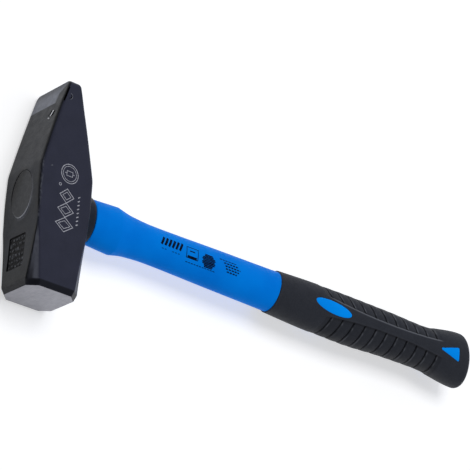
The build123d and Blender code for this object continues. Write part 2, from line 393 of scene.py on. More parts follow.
def grip_rubber():
    """Matt thermoplastic rubber with a fine grain, a little paler where hands rub it, with a painted
    highlight along one side of the band's lip and painted shade in the grooves and beside the band.
    """
    paint = Paint("grip_rubber")
    base = paint.blend(paint.noise(6, 4), (0.0125, 0.014, 0.0185), (0.017, 0.019, 0.0245))
    speckled = paint.mix(paint.spread(paint.noise(0.7, 3), 0.0, 0.18), base, (0.06, 0.064, 0.076))
    # Paler where rubbed, and along one side of the band's lip as painted highlight.
    rubbed_and_highlit = paint.worn("rub", speckled, (0.15, 0.157, 0.175))
    rough = paint.spread(paint.noise(1.5, 3), 0.55, 0.7)
    layers = [(paint.noise(0.28, 3), 0.035), (paint.noise(2.5, 2), 0.03)]
    # Near black as painted shade in the grooves, over the ribbed ground on one side and beside the band.
    groove_shaded = paint.worn("groove", rubbed_and_highlit, (0.001, 0.001, 0.0014))
    return paint.done(groove_shaded, rough, layers, gloss=0.3)


def black_plastic():
    """Smooth black plastic with a faint blue cast."""
    paint = Paint("black_plastic")
    colour = paint.blend(paint.noise(4, 3), (0.0035, 0.0065, 0.0125), (0.006, 0.011, 0.02))
    rough = paint.spread(paint.noise(1.5, 3), 0.38, 0.5)
    return paint.done(colour, rough, [(paint.noise(0.4, 2), 0.02)], gloss=0.32)


def bond_resin():
    """Cast resin in the eye, over-sprayed with the head's paint: smoother, a little greyer, with a painted
    highlight on its rim's light side and painted shade on its other side.
    """
    paint = Paint("bond_resin")
    grey = paint.blend(paint.noise(6, 4), (0.02, 0.0215, 0.025), (0.026, 0.028, 0.0325))
    # Pale arc on the rim's light side: painted highlight.
    rubbed = paint.worn("rub", grey, (0.32, 0.33, 0.36))
    rough = paint.spread(paint.noise(2, 3), 0.45, 0.58)
    layers = [(paint.noise(0.7, 2), 0.03), (paint.noise(5, 2), 0.15)]
    # Near black on the side away from the light: painted shade.
    return paint.done(paint.worn("pooled", rubbed, PAINTED_SHADE_BLACK), rough, layers, gloss=0.26)


def glass_fibre():
    """Pultruded rod: pale resin with long fibres."""
    paint = Paint("glass_fibre")
    fibres = paint.noise(0.6, 4, stretch=(0.03, 1, 1), roughness=0.7)
    colour = paint.blend(fibres, (0.42, 0.36, 0.2), (0.66, 0.6, 0.4))
    return paint.done(colour, paint.spread(fibres, 0.35, 0.55), [(fibres, 0.03)])


def thin_cover(name, thin, thick, gloss=0.3):
    """Printed ink, and the painted highlights, glints and shade of chips and dents, slightly uneven."""
    paint = Paint(name)
    colour = paint.blend(paint.noise(0.9, 4), thin, thick, high=0.65)
    rough = paint.spread(paint.noise(0.6, 3), 0.5, 0.65)
    return paint.done(colour, rough, [(paint.noise(0.3, 2), 0.01)], gloss=gloss)


def pale_paper():
    """Floor: a white light table, glowing faintly."""
    paint = Paint("pale_paper")
    colour = paint.blend(paint.noise(60, 3), (0.59, 0.59, 0.59), (0.61, 0.61, 0.61))
    rough = paint.spread(paint.noise(10, 2), 0.85, 0.95)
    glow = {"Emission_Color": (1, 1, 1, 1), "Emission_Strength": 0.56}
    return paint.done(colour, rough, [(paint.noise(1.5, 2), 0.02)], gloss=0.1, **glow)


PAINTED = painted_steel()
STAMPED = stamp_floor()
FACE_STEEL = ground_steel("face_steel", (1, 1, 0.05), (0.325, 0.325, 0.355), (0.235, 0.235, 0.26))
FACET_STEEL = ground_steel("facet_steel", (1, 0.06, 1), (0.15, 0.16, 0.192), (0.094, 0.1, 0.122))
JACKET_BLUE = blue_plastic("jacket_blue", (0.0, 0.182, 0.71), (0.0, 0.215, 0.78), 0.42)
INLAY_BLUE = blue_plastic("inlay_blue", (0.0, 0.25, 0.84), (0.0, 0.285, 0.92), 0.36)
RUBBER = grip_rubber()
BLACK = black_plastic()
RESIN = bond_resin()
FIBRE = glass_fibre()
CHEEK_INK = thin_cover("cheek_ink", (0.2, 0.2, 0.22), (0.5, 0.5, 0.54))
JACKET_INK = thin_cover("jacket_ink", (0.0, 0.006, 0.03), (0.0, 0.002, 0.008), 0.08)
# The three below draw chips and a dent as painted light: a painted glint, a painted highlight with a scratch,
# and dark marks for painted shade.
CHIP_GLINT = thin_cover("chip_glint", (0.5, 0.51, 0.54), (0.8, 0.81, 0.84))
HIGHLIGHT_AND_SCRATCH = thin_cover("highlight_and_scratch", (0.03, 0.032, 0.038), (0.14, 0.145, 0.165))
DARK_MARK = thin_cover("dark_mark", (0.0015, 0.0016, 0.002), (0.001, 0.001, 0.0012), 0.0)


# ---- head

WAIST = 17.6  # half width at the narrowest place before the eye
WAIST_Y = -27.0
FACE_HALF = 18.6
FACE_FLARE = 0.06
SHOULDER_Y = 6.0
TAPER_Y = 17.0
TAPER_CROWN = 0.3
FACET_Y = TIP - 15.0
FACET_HALF = 8.3
TIP_HALF = 3.8
TIP_ROUNDING = 0.6
NOSE_CORNER = 3.4
CHEEK_DRAFT = 0.6
CORNER_CUT = 6.6
CORNER_RUN_OUT = -14.0
BEVEL_INSET = 1.6
BEVEL_HEIGHT = 4.2
BEVEL_SOFT = 0.9  # reach of the soft edge between bevel and sides
BEVEL_ROUNDING = 0.6
CUT_INSET = 0.586  # loss of a corner chamfer's leg for each millimetre of inset
FACE_CROWN = 0.3
FACE_SOFT = 0.35  # reach of the soft edge round the striking face
RIM_DROP = 0.04
FORGE_DEPTH = 0.09  # how deep the hollows of the forged surface are

half_height = AXIS - HEAD_LOW[2]


def side_at(y):
    """Half width of the head at a place along it."""
    y = np.asarray(y, float)
    to_waist = hermite(y, FACE, WAIST_Y, FACE_HALF, WAIST, -FACE_FLARE, 0)
    to_shoulder = hermite(y, WAIST_Y, SHOULDER_Y, WAIST, SIDE, 0, 0)
    t = (y - TAPER_Y) / (FACET_Y - TAPER_Y)
    taper = SIDE + (FACET_HALF - SIDE) * t + 4 * TAPER_CROWN * t * (1 - t)
    facet = FACET_HALF + (TIP_HALF - FACET_HALF) * (y - FACET_Y) / (TIP - FACET_Y)
    return np.select(
        [y < WAIST_Y, y < SHOULDER_Y, y < TAPER_Y, y < FACET_Y],
        [to_waist, to_shoulder, SIDE, taper],
        facet,
    )


def rounded_side_at(y):
    """The same half width with the shoulder's corner rounded."""
    return np.mean([side_at(np.asarray(y) + shift) for shift in (-1.5, -0.75, 0, 0.75, 1.5)], axis=0)


def cheek_at(y):
    """Half thickness of the head at a place along it, without the tip's corners."""
    return half_height - CHEEK_DRAFT * np.clip((np.asarray(y, float) - TAPER_Y) / (TIP - TAPER_Y), 0, 1)


def corner_at(y):
    """Leg of the corner chamfer at a place along the head."""
    return CORNER_CUT * np.clip((CORNER_RUN_OUT - y) / (CORNER_RUN_OUT - FACE), 0, 1)


def edge_radius_at(y):
    """Rounding of the long edges: tighter at the striking end."""
    return 1.0 + 1.5 * float(ease(-20, 25, y)) - 1.2 * float(ease(FACET_Y - 4, TIP, y))


def head_ring(y, half_width, half_thick, cut, radius):
    """Loop round the head's section: a rectangle with chamfered, rounded corners."""
    radius = min(radius, half_width * 0.8)
    reach = radius * math.tan(math.pi / 8)
    leg = max(cut, math.sqrt(2) * reach + 0.05)
    low_centre = (half_width - radius, half_thick - leg - reach)
    high_centre = (half_width - leg - reach, half_thick - radius)
    quarter = [(half_width, z) for z in np.linspace(0, low_centre[1], 16, endpoint=False)]
    quarter += arc(*low_centre, radius, np.linspace(0, math.pi / 4, 5))
    rounded = arc(*high_centre, radius, np.linspace(math.pi / 4, math.pi / 2, 5))
    quarter += list(np.linspace(quarter[-1], rounded[0], 6)[1:-1]) + rounded
    quarter += [(x, half_thick) for x in np.linspace(high_centre[0], 0, 16)[1:]]
    quarter = np.array(quarter)
    back = quarter[::-1]
    loop = np.concatenate(
        [quarter[:-1], back[:-1] * (-1, 1), quarter[:-1] * (-1, -1), back[:-1] * (1, -1)]
    )
    return np.stack([loop[:, 0], np.full(len(loop), float(y)), AXIS + loop[:, 1]], axis=1)


def striking_profile():
    """(inset, place) down the bevel round the striking face, with its edges softened."""
    top = FACE + BEVEL_HEIGHT
    bottom = FACE + FACE_CROWN
    slope = BEVEL_INSET / BEVEL_HEIGHT
    upper = corner_curve((0, top + BEVEL_SOFT), (0, top), (BEVEL_SOFT * slope, top - BEVEL_SOFT), 5)
    above = (BEVEL_INSET - FACE_SOFT * slope, bottom + FACE_SOFT)
    lower = corner_curve(above, (BEVEL_INSET, bottom), (BEVEL_INSET + FACE_SOFT, bottom - RIM_DROP), 4)
    middle = [upper[-1] * (1 - t) + lower[0] * t for t in (0.25, 0.5, 0.75)]
    return [tuple(point) for point in upper + middle + lower]


def head_rings():
    """Every ring of the head from the middle of the striking face to the tip."""
    rings = []
    for inset, y in reversed(striking_profile()):
        half_width, half_thick = rounded_side_at(y) - inset, cheek_at(y) - inset
        rings.append(head_ring(y, half_width, half_thick, corner_at(y) - CUT_INSET * inset, BEVEL_ROUNDING))
    face_shares = (0.04, 0.12, 0.22, 0.34, 0.46, 0.58, 0.7, 0.8, 0.88, 0.94, 0.98)
    rings = towards_middle(rings[0], face_shares, (0, RIM_DROP - FACE_CROWN, 0)) + rings
    start = FACE + BEVEL_HEIGHT + BEVEL_SOFT
    for y in np.arange(start + 0.8, TIP - NOSE_CORNER - 0.5, 1.05):
        rings.append(head_ring(y, rounded_side_at(y), cheek_at(y), corner_at(y), edge_radius_at(y)))
    for turn in np.linspace(0, math.pi / 2, 15):
        y = TIP - NOSE_CORNER * (1 - math.sin(turn))
        thick = cheek_at(y) - NOSE_CORNER * (1 - math.cos(turn))
        rounding = max(0.0, y - (TIP - TIP_ROUNDING))
        inset = TIP_ROUNDING - math.sqrt(max(0.0, TIP_ROUNDING**2 - rounding**2))
        rings.append(head_ring(y, rounded_side_at(y) - inset, thick, 0, edge_radius_at(y)))
    return rings + towards_middle(rings[-1], (0.8, 0.5, 0.2))


def forge_depth(point):
    """How far the forged surface is sunk at a place, in millimetres."""
    broad = noise.noise(Vector(point) / 13.0)
    fine = noise.noise(Vector(point) / 3.1 + Vector((7, 3, 5)))
    return FORGE_DEPTH * (0.5 + 0.42 * broad + 0.16 * fine)


def places_of(piece):
    """Points of a piece in millimetres."""
    flat = np.zeros(3 * len(piece.data.vertices))
    piece.data.vertices.foreach_get("co", flat)
    return flat.reshape(-1, 3) / MM


def forge(piece):
    """Gives the surface the low, soft unevenness of a forging."""
    places = places_of(piece)
    normals = np.zeros(3 * len(places))
    piece.data.vertices.foreach_get("normal", normals)
    depths = np.array([forge_depth(place) for place in places])
    depths *= ease(FACE + 0.9, FACE + 1.6, places[:, 1])
    places -= normals.reshape(-1, 3) * depths[:, None]
    piece.data.vertices.foreach_set("co", (places * MM).ravel())
    piece.data.update()


EYE_FAR = (15.3, 10.3)
EYE_THROAT = (12.8, 8.4)
EYE_NEAR = (13.5, 9.3)
EYE_SHIFT = 1.7
THROAT_X = 4.0
EYE_POINTS = 128
BOND_RECESS = 0.18
ROD_RECESS = 2.5
CORE_HALF = (8.5, 5.5)


def eye_ring(x, growth=0.0):
    """The eye's section at a place along the handle."""
    if x < THROAT_X:
        share = max(0.0, (THROAT_X - x) / (THROAT_X + SIDE))
        mouth, middle = EYE_FAR, EYE_SHIFT * share
    else:
        share = min(1.0, (x - THROAT_X) / (SIDE - THROAT_X))
        mouth, middle = EYE_NEAR, 0.0
    half_y, half_z = (throat + share * (end - throat) + growth for throat, end in zip(EYE_THROAT, mouth))
    return ellipse(x, half_y, half_z, EYE_POINTS, middle)


def eye_cutter():
    """Tool that opens the eye, with a rounded rim at its far mouth."""
    mouth = ((-2, 2.0), (-0.3, 0.55), (0.0, 0.3), (0.12, 0.16), (0.3, 0.04), (0.5, 0.0))
    rings = [eye_ring(depth - SIDE, growth) for depth, growth in mouth]
    rings += [eye_ring(x) for x in (-12, -4, THROAT_X, 12, SIDE - 1, SIDE + 2)]
    return ring_solid("eye_cutter", rings, PAINTED)


STAMP_INSET = 13.6  # from the striking face to the patch
STAMP_LENGTH = 21.0
STAMP_MIDDLE = (FACE + STAMP_INSET + STAMP_LENGTH / 2, AXIS - 1.5)
STAMP_WIDTH = 16.0
STAMP_CORNER = 1.2
STAMP_FLOOR = -WAIST + 0.62
STAMP_RELIEF = 0.36


def stamp_height(y, z):
    """Raised marks on the floor of the patch, worn and uneven: a generic pattern."""
    rows = 6
    bent_y = y + 0.9 * noise.noise(Vector((y, z, 2.0)) / 3.5)
    bent_z = z + 1.2 * noise.noise(Vector((y, z, 6.0)) / 3.0)
    column = (bent_y / STAMP_LENGTH + 0.5) * rows
    index = math.floor(column)
    along = (bent_z / STAMP_WIDTH + 0.5) * (5 + index % 2)
    in_row = abs(column - index - 0.5) * 2
    in_cell = abs(along - math.floor(along) - 0.5) * 2
    bar = (1 - float(ease(0.42, 0.62, in_row))) * (1 - float(ease(0.6, 0.82, in_cell)))
    inside = 1 - float(ease(0.86, 0.94, max(abs(2 * y / STAMP_LENGTH), abs(2 * z / STAMP_WIDTH))))
    worn = 0.75 + 0.5 * noise.noise(Vector((y, z, 4.0)) / 2.2)
    rough = 0.09 * noise.noise(Vector((y, z, 9.0)) / 0.7)
    return STAMP_RELIEF * bar * inside * worn + rough


def stamp_cutter():
    """Tool that sinks the stamped patch, with the pattern left standing on its floor."""
    rows, columns = 64, 48
    points = []
    for i in range(rows):
        y = STAMP_LENGTH * (i / (rows - 1) - 0.5)
        corner = max(0.0, abs(y) - (STAMP_LENGTH / 2 - STAMP_CORNER))
        half = STAMP_WIDTH / 2 - STAMP_CORNER + math.sqrt(STAMP_CORNER**2 - corner**2)
        for j in range(columns):
            z = half * (2 * j / (columns - 1) - 1)
            points.append((STAMP_FLOOR - stamp_height(y, z), STAMP_MIDDLE[0] + y, STAMP_MIDDLE[1] + z))
    floor = len(points)
    points += [(-SIDE - 2, y, z) for _, y, z in points]
    faces = grid_faces(rows, columns)
    faces += [tuple(floor + k for k in reversed(face)) for face in faces]
    sheet = np.arange(floor).reshape(rows, columns)
    border = np.concatenate([sheet[0], sheet[1:, -1], sheet[-1, -2::-1], sheet[-2:0:-1, 0]]).tolist()
    for a, b in zip(border, border[1:] + border[:1]):
        faces.append((a, b, floor + b, floor + a))
    return mesh_object("stamp_cutter", points, faces, STAMPED)


def uneven(places, size):
    """Smooth random values from 0 to 1 over places, in patches of about size millimetres."""
    return np.array([0.5 + 0.5 * noise.noise(Vector(place) / size) for place in places])


def eye_place(places):
    """Size of the eye's oval through each place, and how far that place is to its light side."""
    y = (places[:, 1] - EYE_SHIFT) / EYE_FAR[0]
    z = (places[:, 2] - AXIS) / EYE_FAR[1]
    size = np.maximum(np.hypot(y, z), 0.001)
    return size, (0.75 * z - 0.65 * y) / size


def head_wear(places):
    """Where the head's paint is rubbed pale or has a painted highlight, where it is darkened as painted
    shade, and where its sides are, which take painted shade.
    """
    y = places[:, 1]
    cut = corner_at(y)
    from_side = rounded_side_at(y) - np.abs(places[:, 0])
    from_cheek = cheek_at(y) - np.abs(places[:, 2] - AXIS)
    on_side = from_side < from_cheek
    patch = uneven(places, 1.3)
    streaks = uneven(places * (1, 0.4, 1), 0.9)
    chamfer = ease(0.2, 0.55, np.minimum(from_side, from_cheek)) * ease(0.8, 2.5, cut)
    chamfer = chamfer * near(from_side + from_cheek, cut, 0.5)
    bevel_edge = near(y, FACE + BEVEL_HEIGHT + 0.1, 0.35)
    rub = chamfer * (0.5 + 0.9 * streaks) + bevel_edge * (0.1 + 0.9 * chamfer) * ease(0.35, 0.7, patch)
    size, lit = eye_place(places)
    at_eye = (places[:, 0] < 0) * (from_side < 1.0) * on_side
    # Painted highlight: a pale arc on the eye rim's side towards the light.
    rub += 0.95 * at_eye * near(size, 1.04, 0.045) * ease(-0.1, 0.9, lit)
    # Painted shade: darker along the long edges, beside the chamfers, on the bevel, on the low side near the
    # striking face and on the eye rim's side away from the light.
    from_edge = np.where(on_side, from_cheek, from_side)
    reach = np.where(on_side, 3.0, 0.9)
    long_edge = 0.95 * near(from_edge, 0, reach) * ease(CORNER_RUN_OUT - 6, CORNER_RUN_OUT + 6, y)
    side_edge = near(from_cheek, cut + 0.2, 1.3) * (from_side < 0.4) * ease(0.3, 1.5, cut)
    bevel = 0.8 * (1 - ease(FACE + BEVEL_HEIGHT - 0.6, FACE + BEVEL_HEIGHT, y))
    low_side = 0.8 * on_side * ease(-36, FACE, y)
    rim = 0.85 * at_eye * near(size, 1.05, 0.07) * ease(0.0, 0.9, -lit)
    pooled = np.max([long_edge, side_edge, bevel, low_side, rim], axis=0)
    # 1 on the sides, where the paint is darkened as painted shade.
    flank = 1 - ease(0.3, 1.3, from_side)
    return np.clip(rub, 0, 1), np.clip(pooled, 0, 1), flank


def facet_strip(y):
    """Height of the painted strip left between the ground facet and the upper cheek."""
    return 1.0 + 7.0 * ease(0, 9, TIP - y)


def facet_darkening(places):
    """Where the ground facet is dark: beside its painted strip and towards the tip."""
    y = places[:, 1]
    from_top = AXIS + cheek_at(y) - places[:, 2]
    strip = 1 - ease(0, 1.2, from_top - facet_strip(y))
    return np.clip(np.maximum(strip, 0.75 * ease(TIP - 9, TIP - 0.5, y)), 0, 1) * (y > FACET_Y - 1)


def stamp_rub(places):
    """Where the raised marks of the stamped patch are rubbed: the further out, the more."""
    proud = (STAMP_FLOOR - places[:, 0]) / STAMP_RELIEF
    sunk = places[:, 0] > -rounded_side_at(places[:, 1]) + 0.12
    return sunk * ease(0.15, 1.0, proud) * ease(0.3, 0.7, uneven(places, 0.8))


def store(piece, **numbers):
    """Keeps numbers for every point of a piece, for its material to read."""
    for name, values in numbers.items():
        layer = piece.data.attributes.new(name, "FLOAT", "POINT")
        layer.data.foreach_set("value", values)


def make_head():
    """Forged head with bare ground steel at both ends, its eye open and its patch sunk."""
    head = ring_solid("hammer_head", head_rings(), PAINTED, FACE_STEEL, FACET_STEEL, STAMPED)
    forge(head)
    for face in head.data.polygons:
        middle = face.center / MM
        from_top = AXIS + cheek_at(middle.y) - middle.z
        if middle.y < FACE + FACE_CROWN + 0.01 and face.normal.y < -0.9:
            face.material_index = 1
        elif middle.y > FACET_Y and abs(face.normal.x) > 0.85 and from_top > facet_strip(middle.y):
            face.material_index = 2
    cut_away(head, eye_cutter())
    cut_away(head, stamp_cutter())
    places = places_of(head)
    rub, pooled, flank = head_wear(places)
    rub = np.maximum(rub, stamp_rub(places))
    # The number named scale darkens the facet beside its painted strip and towards the tip.
    store(head, rub=rub, pooled=pooled, flank=flank, scale=facet_darkening(places))
    dress(head, "painted_head", "head")


def make_bond():
    """Resin that fills the eye round the rod, its far end slightly dished."""
    rod_half = [half + 0.02 for half in CORE_HALF]
    bore = [ellipse(x, *rod_half, EYE_POINTS) for x in (ROD_RECESS - SIDE, 0, SIDE)]
    end = BOND_RECESS - SIDE
    outer = [eye_ring(x, -0.02) for x in (SIDE, 12, THROAT_X, -4, -12, 1.3 - SIDE, end + 0.6)]
    edge = ((0.35, -0.06), (0.16, -0.18), (0.05, -0.36))
    outer += [eye_ring(end + depth, growth) for depth, growth in edge]
    rim = eye_ring(end, -0.65)
    dish = towards_middle(rim, (0.985, 0.96, 0.92, 0.85, 0.7, 0.5, 0.3, 0.12), (0.25, 0, 0))
    bond = ring_solid("resin_bond", bore + outer + [rim] + dish, RESIN)
    size, lit = eye_place(places_of(bond))
    # Painted shade on the dish's side away from the light, painted highlight on its rim's light side.
    store(bond, pooled=ease(0.1, 1.0, -lit * size), rub=ease(0.95, 0.985, size) * ease(-0.1, 0.8, lit))
    dress(bond, "bond_resin", "eye_bond")


# ---- handle

HANDLE_POINTS = 224
CORE_END = CORE_HIGH[0]
TANG_HALF = (11.2, 7.4)
TANG_END = JACKET_HIGH[0]
FRONT_SLANT = math.tan(math.radians(9))
CREASE = COLLAR_END + 19.1
SLIM = CREASE + 27.5
FRONT_HALF = (14.25, 10.55)  # the grip's front edge
GRIP_START = GRIP_LOW[0] + FRONT_HALF[0] * FRONT_SLANT
JACKET_START_HALF = (14.2, 10.6)
JACKET_FLARE = (1.2, 0.1)
SEAM_HEIGHT = 0.06

JACKET_STOPS = (CREASE, CREASE + 11, SLIM, (SLIM + GRIP_START) / 2, GRIP_START + 8)
jacket_depth = smooth_curve(JACKET_STOPS, (15.4, 13.15, 12.2, 13.05, 13.95))
jacket_thickness = smooth_curve(JACKET_STOPS, (10.7, 9.6, 9.1, 9.65, 10.25))


def jacket_half(x):
    """Half depth and half thickness of the jacket at a place along the handle."""
    share = np.clip((np.asarray(x, float) - COLLAR_END) / (CREASE - COLLAR_END), 0, 1)
    depth = np.where(share < 1, JACKET_START_HALF[0] + share * JACKET_FLARE[0], jacket_depth(x))
    thickness = np.where(share < 1, JACKET_START_HALF[1] + share * JACKET_FLARE[1], jacket_thickness(x))
    return depth, thickness


def slanted(ring, x):
    """Leans a ring like the grip's front edge."""
    leaned = ring.copy()
    leaned[:, 0] = x + FRONT_SLANT * leaned[:, 1]
    return leaned


def jacket_ring(x):
    """Ring of the jacket with its moulding seam, leaning as it nears the grip."""
    amount = float(ease(GRIP_START - 45, GRIP_START - 6, x))
    depth = jacket_half(x)[0]
    turn = full_turn(HANDLE_POINTS)
    places = x + amount * FRONT_SLANT * depth * np.cos(turn)
    depth, thickness = jacket_half(places)
    seam = SEAM_HEIGHT * near(np.sin(turn), 0, 0.035)
    y = (depth + seam) * np.cos(turn)
    z = AXIS + thickness * np.sin(turn)
    return np.stack([places, y, z], axis=1)


def make_collar():
    """Collar between head and jacket, its far edge rounded."""
    half_y = (COLLAR_HIGH[1] - COLLAR_LOW[1]) / 2
    half_z = (COLLAR_HIGH[2] - COLLAR_LOW[2]) / 2
    rounding = 1.6
    sections = [(SIDE + 0.02, 0.3), (SIDE + 0.3, 0.0)]
    sections += [(x, 0.0) for x in np.linspace(SIDE + 1.2, COLLAR_END - rounding, 6)]
    for turn in np.linspace(0.2, math.pi / 2, 7):
        sections.append((COLLAR_END - rounding * (1 - math.sin(turn)), rounding * (1 - math.cos(turn))))
    rings = [ellipse(x, half_y - inset, half_z - inset, HANDLE_POINTS) for x, inset in sections]
    bore = [ellipse(x, *CORE_HALF, HANDLE_POINTS) for x in (SIDE + 0.02, COLLAR_END)]
    rings = bore[:1] + rings + bore[1:]
    faces = tube_faces(len(rings), HANDLE_POINTS, closed=True)
    collar = mesh_object("collar_ring", np.concatenate(rings), faces, BLACK)
    dress(collar, "black_plastic", "neck_collar")


def make_jacket():
    """Blue jacket over the rod: a flare, a crease, a slim shaft and a tang for the grip."""
    mouth = COLLAR_END + 0.02
    rings = [ellipse(x, *CORE_HALF, HANDLE_POINTS) for x in (CORE_END + 0.02, 240, 120, mouth)]
    depth, thickness = jacket_half(mouth)
    for inset, step in ((0.5, 0.0), (0.15, 0.08), (0.0, 0.35)):
        rings.append(ellipse(mouth + step, depth - inset, thickness - inset, HANDLE_POINTS))
    flare = np.linspace(mouth + 1, CREASE - 0.5, 14)
    crease = [CREASE + step for step in (-0.25, 0.0, 0.25, 0.6)]
    shaft = np.arange(CREASE + 1.4, GRIP_START - 1.0, 1.3)
    rings += [jacket_ring(x) for x in (*flare, *crease, *shaft, GRIP_START - 0.02)]
    tang = []
    for x in (GRIP_START, GRIP_START + 12, GRIP_START + 80, TANG_END - 0.6, TANG_END):
        inset = 0.5 if x == TANG_END else 0.03
        tang.append(ellipse(x, TANG_HALF[0] - inset, TANG_HALF[1] - inset, HANDLE_POINTS))
    tang[0] = slanted(tang[0], GRIP_START)
    jacket = ring_solid("handle_jacket", rings + tang, JACKET_BLUE)
    dress(jacket, "blue_plastic", "shaft_jacket")


# ---- grip

GRIP_POINTS = 240
PALM = GRIP_START + 64
NECK = BUTT - 40
WIDEST = BUTT - 5
BUTT_ROUNDING = 4.6
BUTT_DOME = 0.35

GRIP_STOPS = (GRIP_START - 8, GRIP_START + 32, PALM, (PALM + NECK) / 2, NECK, WIDEST, BUTT)
grip_up = smooth_curve(GRIP_STOPS, (14.25, 16.16, 16.8, 16.7, 15.9, 20.4, 20.4))
grip_down = smooth_curve(GRIP_STOPS, (14.25, 16.28, 16.8, 15.2, 14.6, 18.2, 18.2))
grip_thickness = smooth_curve(GRIP_STOPS, (10.55, 10.73, 10.8, 11.05, 11.3, 12.3, 12.3))

GROOVE_COUNT = 11
GROOVE_PITCH = 9.0
LAST_GROOVE = BUTT - 31.0
FIRST_GROOVE = LAST_GROOVE - (GROOVE_COUNT - 1) * GROOVE_PITCH
FIRST_LEAN = math.tan(math.radians(24))
LAST_LEAN = math.tan(math.radians(6))
GROOVE_DEPTH = 0.95
GROOVE_HALF = 0.8
RIB_CROWN = 0.12
ZONE_DROP = 0.22  # the ribbed ground lies this far below the smooth parts
BAND_MIDDLE = 3.4
BAND_END = 7.4
BAND_STOP = BUTT - 15.5
BAND_LIP = 0.12


def lean_place(x, reach):
    """Where the leaning line through a point meets the handle's axis."""
    place = x + reach * LAST_LEAN
    for _ in range(3):
        share = np.clip((LAST_GROOVE - place) / (LAST_GROOVE - FIRST_GROOVE), 0, 1)
        place = x + reach * (LAST_LEAN + share * (FIRST_LEAN - LAST_LEAN))
    return place


def band_half(x):
    """Half width of the smooth band between the ribbed areas."""
    start = FIRST_GROOVE - GROOVE_PITCH
    t = np.clip((x - start) / (BAND_STOP - start), 0, 1)
    return BAND_MIDDLE + (BAND_END - BAND_MIDDLE) * (2 * t - 1) ** 2


def grip_relief(x, y):
    """(height above the plain grip, how rubbed or painted with a highlight, how much painted shade) of the
    ribs, grooves and band.
    """
    reach = np.abs(y)
    place = lean_place(x, reach)
    rib = (place - FIRST_GROOVE) / GROOVE_PITCH
    beside = (rib - np.round(rib)) * GROOVE_PITCH
    off_band = reach - band_half(x)
    zone = ease(-0.1, 0.5, off_band) * ease(-0.55, -0.4, rib)
    zone = zone * (1 - ease(GROOVE_COUNT - 0.62, GROOVE_COUNT - 0.45, rib))
    groove = 1 - ease(0.15, GROOVE_HALF, np.abs(beside))
    crown = RIB_CROWN * np.cos(math.pi * beside / GROOVE_PITCH) ** 2
    height = -zone * (ZONE_DROP + crown + GROOVE_DEPTH * groove)
    along = ease(-0.6, 0.4, rib) * (1 - ease(GROOVE_COUNT - 0.9, GROOVE_COUNT - 0.3, rib))
    lip = near(off_band, -0.35, 0.4) * along
    edge = near(beside, GROOVE_HALF + 0.2, 0.35) * zone
    patchy = 0.55 + 0.45 * np.sin(1.3 * x + 2.1 * np.sin(0.7 * y) + 1.7 * np.round(rib))
    # The band's lip is paler on the y > 0 side only, as painted highlight; rib edges are paler in patches.
    rub = lip * np.where(y > 0, 0.95, 0.05) + 0.75 * edge * patchy
    # Painted shade: the grooves, all the ribbed ground on the y < 0 side, and beside the band are darkened.
    under_band = near(off_band, 0.5, 0.7) * along
    grime_and_shade = zone * np.where(y > 0, groove, 0.25 + 0.6 * groove) + 0.45 * under_band
    return height + BAND_LIP * lip, np.clip(rub, 0, 1), np.clip(grime_and_shade, 0, 1)


def plain_grip(x, turn, inset=0.0):
    """Points of the grip's plain oval at places along it."""
    up, down = grip_up(x) - inset, grip_down(x) - inset
    thick = grip_thickness(x) - inset
    y = (up - down) / 2 + (up + down) / 2 * np.cos(turn)
    z = AXIS + thick * np.sin(turn)
    return np.stack([x, y, z], axis=-1)


def grip_top(x, y):
    """Height of the plain grip's upper surface over a place."""
    up, down = grip_up(x), grip_down(x)
    share = (y - (up - down) / 2) / ((up + down) / 2)
    return AXIS + grip_thickness(x) * np.sqrt(np.clip(1 - share * share, 0, 1))


def grip_outside():
    """Rings of the grip's outer surface with its relief, how rubbed or painted with a highlight each point
    is, and how much painted shade it has.
    """
    steps = np.concatenate([[0.35, 0.7], np.arange(1.2, BUTT - BUTT_ROUNDING - GRIP_START, 0.5)])
    turn = full_turn(GRIP_POINTS)
    rows, columns = np.meshgrid(GRIP_START + steps, turn, indexing="ij")
    fade = 1 - ease(GRIP_START + 4, GRIP_START + 40, rows)
    places = rows + fade * FRONT_SLANT * grip_up(rows) * np.cos(columns)
    points = plain_grip(places, columns)
    along = plain_grip(places + 0.05, columns) - plain_grip(places - 0.05, columns)
    round_it = plain_grip(places, columns + 0.005) - plain_grip(places, columns - 0.005)
    normal = np.cross(round_it, along)
    normal /= np.linalg.norm(normal, axis=-1, keepdims=True)
    height, rub, grime_and_shade = grip_relief(points[..., 0], points[..., 1])
    return points + normal * height[..., None], rub, grime_and_shade


